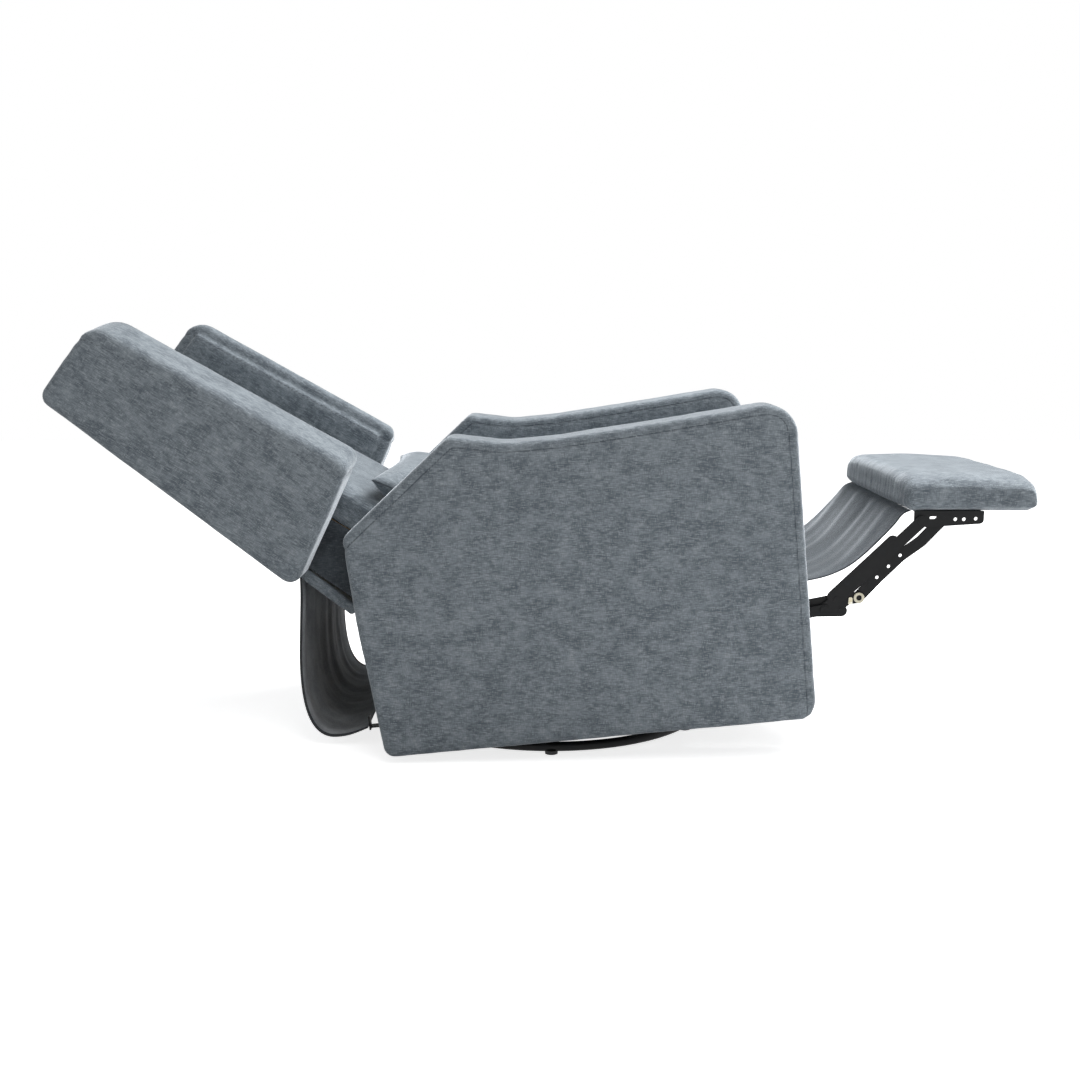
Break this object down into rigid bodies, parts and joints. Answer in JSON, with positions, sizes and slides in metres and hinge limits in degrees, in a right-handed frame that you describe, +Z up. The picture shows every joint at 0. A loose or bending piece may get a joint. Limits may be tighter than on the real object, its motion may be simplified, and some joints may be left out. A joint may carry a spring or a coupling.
{
  "type": "swivel glider recliner",
  "caption": "Upholstered swivel glider recliner, laid back with its footrest out on a scissor linkage, over a round floor ring.",
  "frame": {"origin": "on the floor at the swivel axis, which is also the middle of the reclined chair's length and width", "axes": "+X points the way the sitter faces and along the longest extent, +Y to the sitter's left, +Z up"},
  "size_m": [1.7903, 0.76, 0.7973],
  "materials": {
    "blue_fabric": "woven chenille",
    "dark_lining": "matt lining",
    "webbing": "matt strap",
    "frame_wood": "raw plywood",
    "black_steel": "satin black",
    "bright_zinc": "bright plated",
    "spring_steel": "drawn wire",
    "rubber": "matt",
    "nylon": "smooth nylon",
    "black_plastic": "moulded"
  },
  "bodies": {
    "base": {"base_ring": "black_steel", "base_feet": "black_plastic", "base_spokes": "black_steel", "swivel_lower_race": "black_steel", "swivel_washer": "nylon"},
    "turntable": {"swivel_upper_race": "black_steel", "swivel_bolt": "black_steel", "turntable_plate": "black_steel", "left_glider_bracket": "black_steel", "right_glider_bracket": "black_steel", "glider_cross_tube": "black_steel", "glide_stops": "rubber"},
    "rear_links": {"rear_glide_links": "black_steel"},
    "front_links": {"front_glide_links": "black_steel"},
    "carriage": {"left_carriage_rail": "black_steel", "right_carriage_rail": "black_steel", "front_crossbar": "black_steel", "rear_rail": "frame_wood", "flap_clips": "black_steel", "left_arm_frame": "frame_wood", "right_arm_frame": "frame_wood", "left_arm_cover": "blue_fabric", "right_arm_cover": "blue_fabric", "seat_side_rails": "frame_wood", "seat_cross_rails": "frame_wood", "seat_front_rail": "blue_fabric", "flap_board": "frame_wood", "seat_springs": "spring_steel", "seat_cushion": "blue_fabric", "back_pivots": "black_steel", "left_mechanism_plate": "black_steel", "right_mechanism_plate": "black_steel", "rear_flap": "dark_lining", "footrest_flap": "blue_fabric"},
    "lower_links": {"left_lower_link": "black_steel", "right_lower_link": "black_steel", "drive_tube": "black_steel", "knee_rollers": "nylon", "knee_tabs": "bright_zinc"},
    "guide_links": {"lower_guide_links": "black_steel"},
    "upper_links": {"left_upper_link": "black_steel", "right_upper_link": "black_steel"},
    "upper_guide_links": {"left_upper_guide_link": "black_steel", "right_upper_guide_link": "black_steel"},
    "footrest": {"footrest_board": "frame_wood", "footrest_pad": "blue_fabric", "left_footrest_bracket": "black_steel", "right_footrest_bracket": "black_steel"},
    "back": {"back_side_boards": "frame_wood", "back_cross_rails": "frame_wood", "back_webbing": "webbing", "back_cushion": "blue_fabric", "back_rear_panel": "blue_fabric", "neck_covers": "blue_fabric", "back_brackets": "black_steel", "wing_frames": "frame_wood", "left_wing_cover": "blue_fabric", "right_wing_cover": "blue_fabric"},
    "pillow": {"lumbar_pillow": "blue_fabric"}
  },
  "joints": [
    {"name": "swivel", "type": "hinge", "parent": "base", "child": "turntable", "pos_m": [0, 0, 0.025], "axis": [0, 0, 1], "continuous": true},
    {"name": "glide", "type": "hinge", "parent": "turntable", "child": "rear_links", "pos_m": [-0.16, 0, 0.2], "axis": [0, -1, 0], "range_deg": [0, 19]},
    {"name": "front_link_swing", "type": "hinge", "parent": "turntable", "child": "front_links", "pos_m": [0.16, 0, 0.2], "axis": [0, -1, 0], "range_deg": [0, 21.25]},
    {"name": "carriage_tilt", "type": "hinge", "parent": "rear_links", "child": "carriage", "pos_m": [-0.16169, 0, 0.05494], "axis": [0, 1, 0], "range_deg": [0, 25.56]},
    {"name": "recline", "type": "hinge", "parent": "carriage", "child": "back", "pos_m": [-0.2, 0, 0.282], "axis": [0, 1, 0], "range_deg": [0, 28], "deforming": ["rear_flap"]},
    {"name": "pillow_slide", "type": "slide", "parent": "carriage", "child": "pillow", "axis": [0.967, 0, 0.2547], "range_m": [0, 0.0965]},
    {"name": "footrest_swing", "type": "hinge", "parent": "carriage", "child": "lower_links", "pos_m": [0.317, 0, 0.401], "axis": [0, 1, 0], "range_deg": [0, 84.5], "deforming": ["footrest_flap"]},
    {"name": "guide_link_swing", "type": "hinge", "parent": "carriage", "child": "guide_links", "pos_m": [0.293, 0, 0.383], "axis": [0, 1, 0], "range_deg": [0, 84.5]},
    {"name": "upper_link_swing", "type": "hinge", "parent": "lower_links", "child": "upper_links", "pos_m": [0.537, 0, 0.281], "axis": [0, 1, 0], "range_deg": [-84.5, 0]},
    {"name": "upper_guide_swing", "type": "hinge", "parent": "lower_links", "child": "upper_guide_links", "pos_m": [0.579, 0, 0.285], "axis": [0, 1, 0], "range_deg": [-84.5, 0]},
    {"name": "footrest_tilt", "type": "hinge", "parent": "upper_links", "child": "footrest", "pos_m": [0.69, 0, 0.43], "axis": [0, 1, 0], "range_deg": [0, 84.5]}
  ],
  "couplings": [
    {"joint": "front_link_swing", "follows": "glide", "ratio": 1.118},
    {"joint": "carriage_tilt", "follows": "glide", "ratio": 1.345},
    {"joint": "pillow_slide", "follows": "recline", "m_per_rad": 0.19644},
    {"joint": "guide_link_swing", "follows": "footrest_swing", "ratio": 1},
    {"joint": "upper_link_swing", "follows": "footrest_swing", "ratio": -1},
    {"joint": "upper_guide_swing", "follows": "footrest_swing", "ratio": -1},
    {"joint": "footrest_tilt", "follows": "footrest_swing", "ratio": 1}
  ]
}
